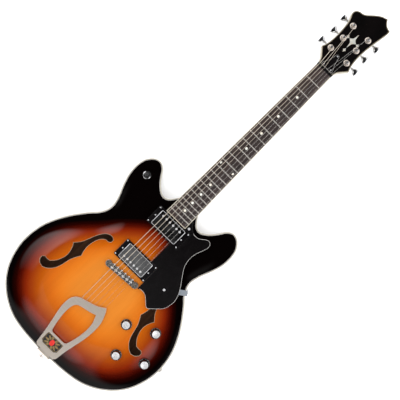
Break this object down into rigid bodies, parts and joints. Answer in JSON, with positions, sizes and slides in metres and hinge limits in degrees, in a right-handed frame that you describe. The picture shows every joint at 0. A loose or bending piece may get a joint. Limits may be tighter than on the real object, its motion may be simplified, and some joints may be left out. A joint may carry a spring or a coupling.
{
  "type": "electric guitar",
  "caption": "Semi-hollow double-cutaway electric guitar with sunburst arched top, f-holes, humbucker pickups, floating pickguard and trapeze tailpiece.",
  "frame": {"origin": "on the centre line of the strings, straight under the bridge line, on the flat of the back plate that the guitar lies on", "axes": "+Y from the bridge line up the neck, +X to the treble side, +Z out of the front; it lies on its back"},
  "size_m": [0.4232, 1.085, 0.0793],
  "materials": {
    "black_lacquer": "black lacquer, gloss",
    "nickel": "nickel plate, slightly worn",
    "chrome": "polished chrome",
    "black_plastic": "black, gloss",
    "raw_wood": "bare spruce and maple, sawn",
    "pot_metal": "pressed cans, tinned wire",
    "fingerboard_wood": "oiled dark rosewood",
    "guard_plastic": "black over a white edge ply, gloss",
    "string_steel": "nickel-wound and plain steel wire",
    "burst_top": "sunburst lacquer, gloss",
    "rod_steel": "plain steel"
  },
  "bodies": {
    "body": {"back_plate": "black_lacquer", "bridge_pickup_ring": "black_plastic", "centre_block": "raw_wood", "control_harness": "pot_metal", "fingerboard": "fingerboard_wood", "neck": "black_lacquer", "neck_pickup_ring": "black_plastic", "nut": "black_plastic", "output_jack": "chrome", "pickguard": "guard_plastic", "pickguard_bracket": "nickel", "rim": "black_lacquer", "strap_button_heel": "chrome", "strap_button_tail": "chrome", "string_1": "string_steel", "string_2": "string_steel", "string_3": "string_steel", "string_4": "string_steel", "string_5": "string_steel", "string_6": "string_steel", "switch_housing": "chrome", "tailpiece": "nickel", "tailpiece_bracket": "nickel", "top_plate": "burst_top", "truss_rod": "rod_steel", "truss_rod_cover": "black_plastic", "tuner_1_housing": "chrome", "tuner_2_housing": "chrome", "tuner_3_housing": "chrome", "tuner_4_housing": "chrome", "tuner_5_housing": "chrome", "tuner_6_housing": "chrome"},
    "tuner_6_key": {"tuner_6_key": "chrome"},
    "tuner_6_post": {"tuner_6_post": "chrome"},
    "tuner_5_key": {"tuner_5_key": "chrome"},
    "tuner_5_post": {"tuner_5_post": "chrome"},
    "tuner_4_key": {"tuner_4_key": "chrome"},
    "tuner_4_post": {"tuner_4_post": "chrome"},
    "tuner_3_key": {"tuner_3_key": "chrome"},
    "tuner_3_post": {"tuner_3_post": "chrome"},
    "tuner_2_key": {"tuner_2_key": "chrome"},
    "tuner_2_post": {"tuner_2_post": "chrome"},
    "tuner_1_key": {"tuner_1_key": "chrome"},
    "tuner_1_post": {"tuner_1_post": "chrome"},
    "neck_volume_knob": {"neck_volume_knob": "black_plastic"},
    "neck_tone_knob": {"neck_tone_knob": "black_plastic"},
    "bridge_volume_knob": {"bridge_volume_knob": "black_plastic"},
    "bridge_tone_knob": {"bridge_tone_knob": "black_plastic"},
    "switch_lever": {"switch_lever": "black_plastic"},
    "neck_pickup": {"neck_pickup": "chrome"},
    "bridge_pickup": {"bridge_pickup": "chrome"},
    "bridge": {"bridge_bar": "nickel"},
    "bridge_stud_treble": {"bridge_stud_treble": "nickel"},
    "bridge_stud_bass": {"bridge_stud_bass": "nickel"},
    "saddle_6": {"saddle_6": "nickel"},
    "saddle_5": {"saddle_5": "nickel"},
    "saddle_4": {"saddle_4": "nickel"},
    "saddle_3": {"saddle_3": "nickel"},
    "saddle_2": {"saddle_2": "nickel"},
    "saddle_1": {"saddle_1": "nickel"}
  },
  "joints": [
    {"name": "tuner_6_key_turn", "type": "hinge", "parent": "body", "child": "tuner_6_key", "pos_m": [-0.0245, 0.68102, 0.02098], "axis": [-1, 0, 0], "continuous": true},
    {"name": "tuner_6_post_turn", "type": "hinge", "parent": "body", "child": "tuner_6_post", "pos_m": [-0.0245, 0.67743, 0.04234], "axis": [0, 0.1616, 0.9869], "continuous": true},
    {"name": "tuner_5_key_turn", "type": "hinge", "parent": "body", "child": "tuner_5_key", "pos_m": [-0.0204, 0.71685, 0.01511], "axis": [-1, 0, 0], "continuous": true},
    {"name": "tuner_5_post_turn", "type": "hinge", "parent": "body", "child": "tuner_5_post", "pos_m": [-0.0204, 0.71325, 0.03647], "axis": [0, 0.1616, 0.9869], "continuous": true},
    {"name": "tuner_4_key_turn", "type": "hinge", "parent": "body", "child": "tuner_4_key", "pos_m": [-0.0232, 0.75277, 0.00923], "axis": [-1, 0, 0], "continuous": true},
    {"name": "tuner_4_post_turn", "type": "hinge", "parent": "body", "child": "tuner_4_post", "pos_m": [-0.0232, 0.74917, 0.03059], "axis": [0, 0.1616, 0.9869], "continuous": true},
    {"name": "tuner_3_key_turn", "type": "hinge", "parent": "body", "child": "tuner_3_key", "pos_m": [0.0232, 0.75277, 0.00923], "axis": [1, 0, 0], "continuous": true},
    {"name": "tuner_3_post_turn", "type": "hinge", "parent": "body", "child": "tuner_3_post", "pos_m": [0.0232, 0.74917, 0.03059], "axis": [0, 0.1616, 0.9869], "continuous": true},
    {"name": "tuner_2_key_turn", "type": "hinge", "parent": "body", "child": "tuner_2_key", "pos_m": [0.0204, 0.71685, 0.01511], "axis": [1, 0, 0], "continuous": true},
    {"name": "tuner_2_post_turn", "type": "hinge", "parent": "body", "child": "tuner_2_post", "pos_m": [0.0204, 0.71325, 0.03647], "axis": [0, 0.1616, 0.9869], "continuous": true},
    {"name": "tuner_1_key_turn", "type": "hinge", "parent": "body", "child": "tuner_1_key", "pos_m": [0.0245, 0.68102, 0.02098], "axis": [1, 0, 0], "continuous": true},
    {"name": "tuner_1_post_turn", "type": "hinge", "parent": "body", "child": "tuner_1_post", "pos_m": [0.0245, 0.67743, 0.04234], "axis": [0, 0.1616, 0.9869], "continuous": true},
    {"name": "neck_volume_knob_turn", "type": "hinge", "parent": "body", "child": "neck_volume_knob", "pos_m": [0.0849, -0.0762, 0.062], "axis": [0, 0, 1], "range_deg": [-270, 30]},
    {"name": "neck_tone_knob_turn", "type": "hinge", "parent": "body", "child": "neck_tone_knob", "pos_m": [0.1439, -0.0457, 0.05878], "axis": [0.1286, 0.0603, 0.9899], "range_deg": [-270, 30]},
    {"name": "bridge_volume_knob_turn", "type": "hinge", "parent": "body", "child": "bridge_volume_knob", "pos_m": [0.1154, -0.1393, 0.06165], "axis": [0.0437, -0.0316, 0.9985], "range_deg": [-270, 30]},
    {"name": "bridge_tone_knob_turn", "type": "hinge", "parent": "body", "child": "bridge_tone_knob", "pos_m": [0.1733, -0.1108, 0.05622], "axis": [0.1418, -0.0139, 0.9898], "range_deg": [-270, 30]},
    {"name": "switch_flip", "type": "hinge", "parent": "body", "child": "switch_lever", "pos_m": [-0.11485, 0.18902, 0.05319], "axis": [0.9997, 0.0005, 0.0263], "range_deg": [-13, 13]},
    {"name": "neck_pickup_height", "type": "slide", "parent": "body", "child": "neck_pickup", "axis": [0, 0, 1], "range_m": [-0.004, 0.0015]},
    {"name": "bridge_pickup_height", "type": "slide", "parent": "body", "child": "bridge_pickup", "axis": [0, 0, 1], "range_m": [-0.004, 0.0015]},
    {"name": "bridge_height", "type": "slide", "parent": "body", "child": "bridge", "axis": [0, 0, 1], "range_m": [-0.002, 0]},
    {"name": "bridge_stud_treble_turn", "type": "hinge", "parent": "bridge", "child": "bridge_stud_treble", "pos_m": [0.03721, -0.0019, 0.066], "axis": [0, 0, 1], "range_deg": [-900, 0]},
    {"name": "bridge_stud_bass_turn", "type": "hinge", "parent": "bridge", "child": "bridge_stud_bass", "pos_m": [-0.03721, -0.0071, 0.066], "axis": [0, 0, 1], "range_deg": [-900, 0]},
    {"name": "saddle_6_intonation", "type": "slide", "parent": "bridge", "child": "saddle_6", "axis": [-0.0698, 0.9976, 0], "range_m": [-0.0011, 0.003]},
    {"name": "saddle_5_intonation", "type": "slide", "parent": "bridge", "child": "saddle_5", "axis": [-0.0698, 0.9976, 0], "range_m": [-0.0018, 0.003]},
    {"name": "saddle_4_intonation", "type": "slide", "parent": "bridge", "child": "saddle_4", "axis": [-0.0698, 0.9976, 0], "range_m": [-0.0025, 0.003]},
    {"name": "saddle_3_intonation", "type": "slide", "parent": "bridge", "child": "saddle_3", "axis": [-0.0698, 0.9976, 0], "range_m": [-0.002, 0.003]},
    {"name": "saddle_2_intonation", "type": "slide", "parent": "bridge", "child": "saddle_2", "axis": [-0.0698, 0.9976, 0], "range_m": [-0.0028, 0.003]},
    {"name": "saddle_1_intonation", "type": "slide", "parent": "bridge", "child": "saddle_1", "axis": [-0.0698, 0.9976, 0], "range_m": [-0.003, 0.0024]}
  ],
  "couplings": [
    {"joint": "tuner_6_post_turn", "follows": "tuner_6_key_turn", "ratio": -0.055556},
    {"joint": "tuner_5_post_turn", "follows": "tuner_5_key_turn", "ratio": -0.055556},
    {"joint": "tuner_4_post_turn", "follows": "tuner_4_key_turn", "ratio": -0.055556},
    {"joint": "tuner_3_post_turn", "follows": "tuner_3_key_turn", "ratio": 0.055556},
    {"joint": "tuner_2_post_turn", "follows": "tuner_2_key_turn", "ratio": 0.055556},
    {"joint": "tuner_1_post_turn", "follows": "tuner_1_key_turn", "ratio": 0.055556},
    {"joint": "bridge_stud_treble_turn", "follows": "bridge_height", "rad_per_m": 7854},
    {"joint": "bridge_stud_bass_turn", "follows": "bridge_height", "rad_per_m": 7854}
  ]
}
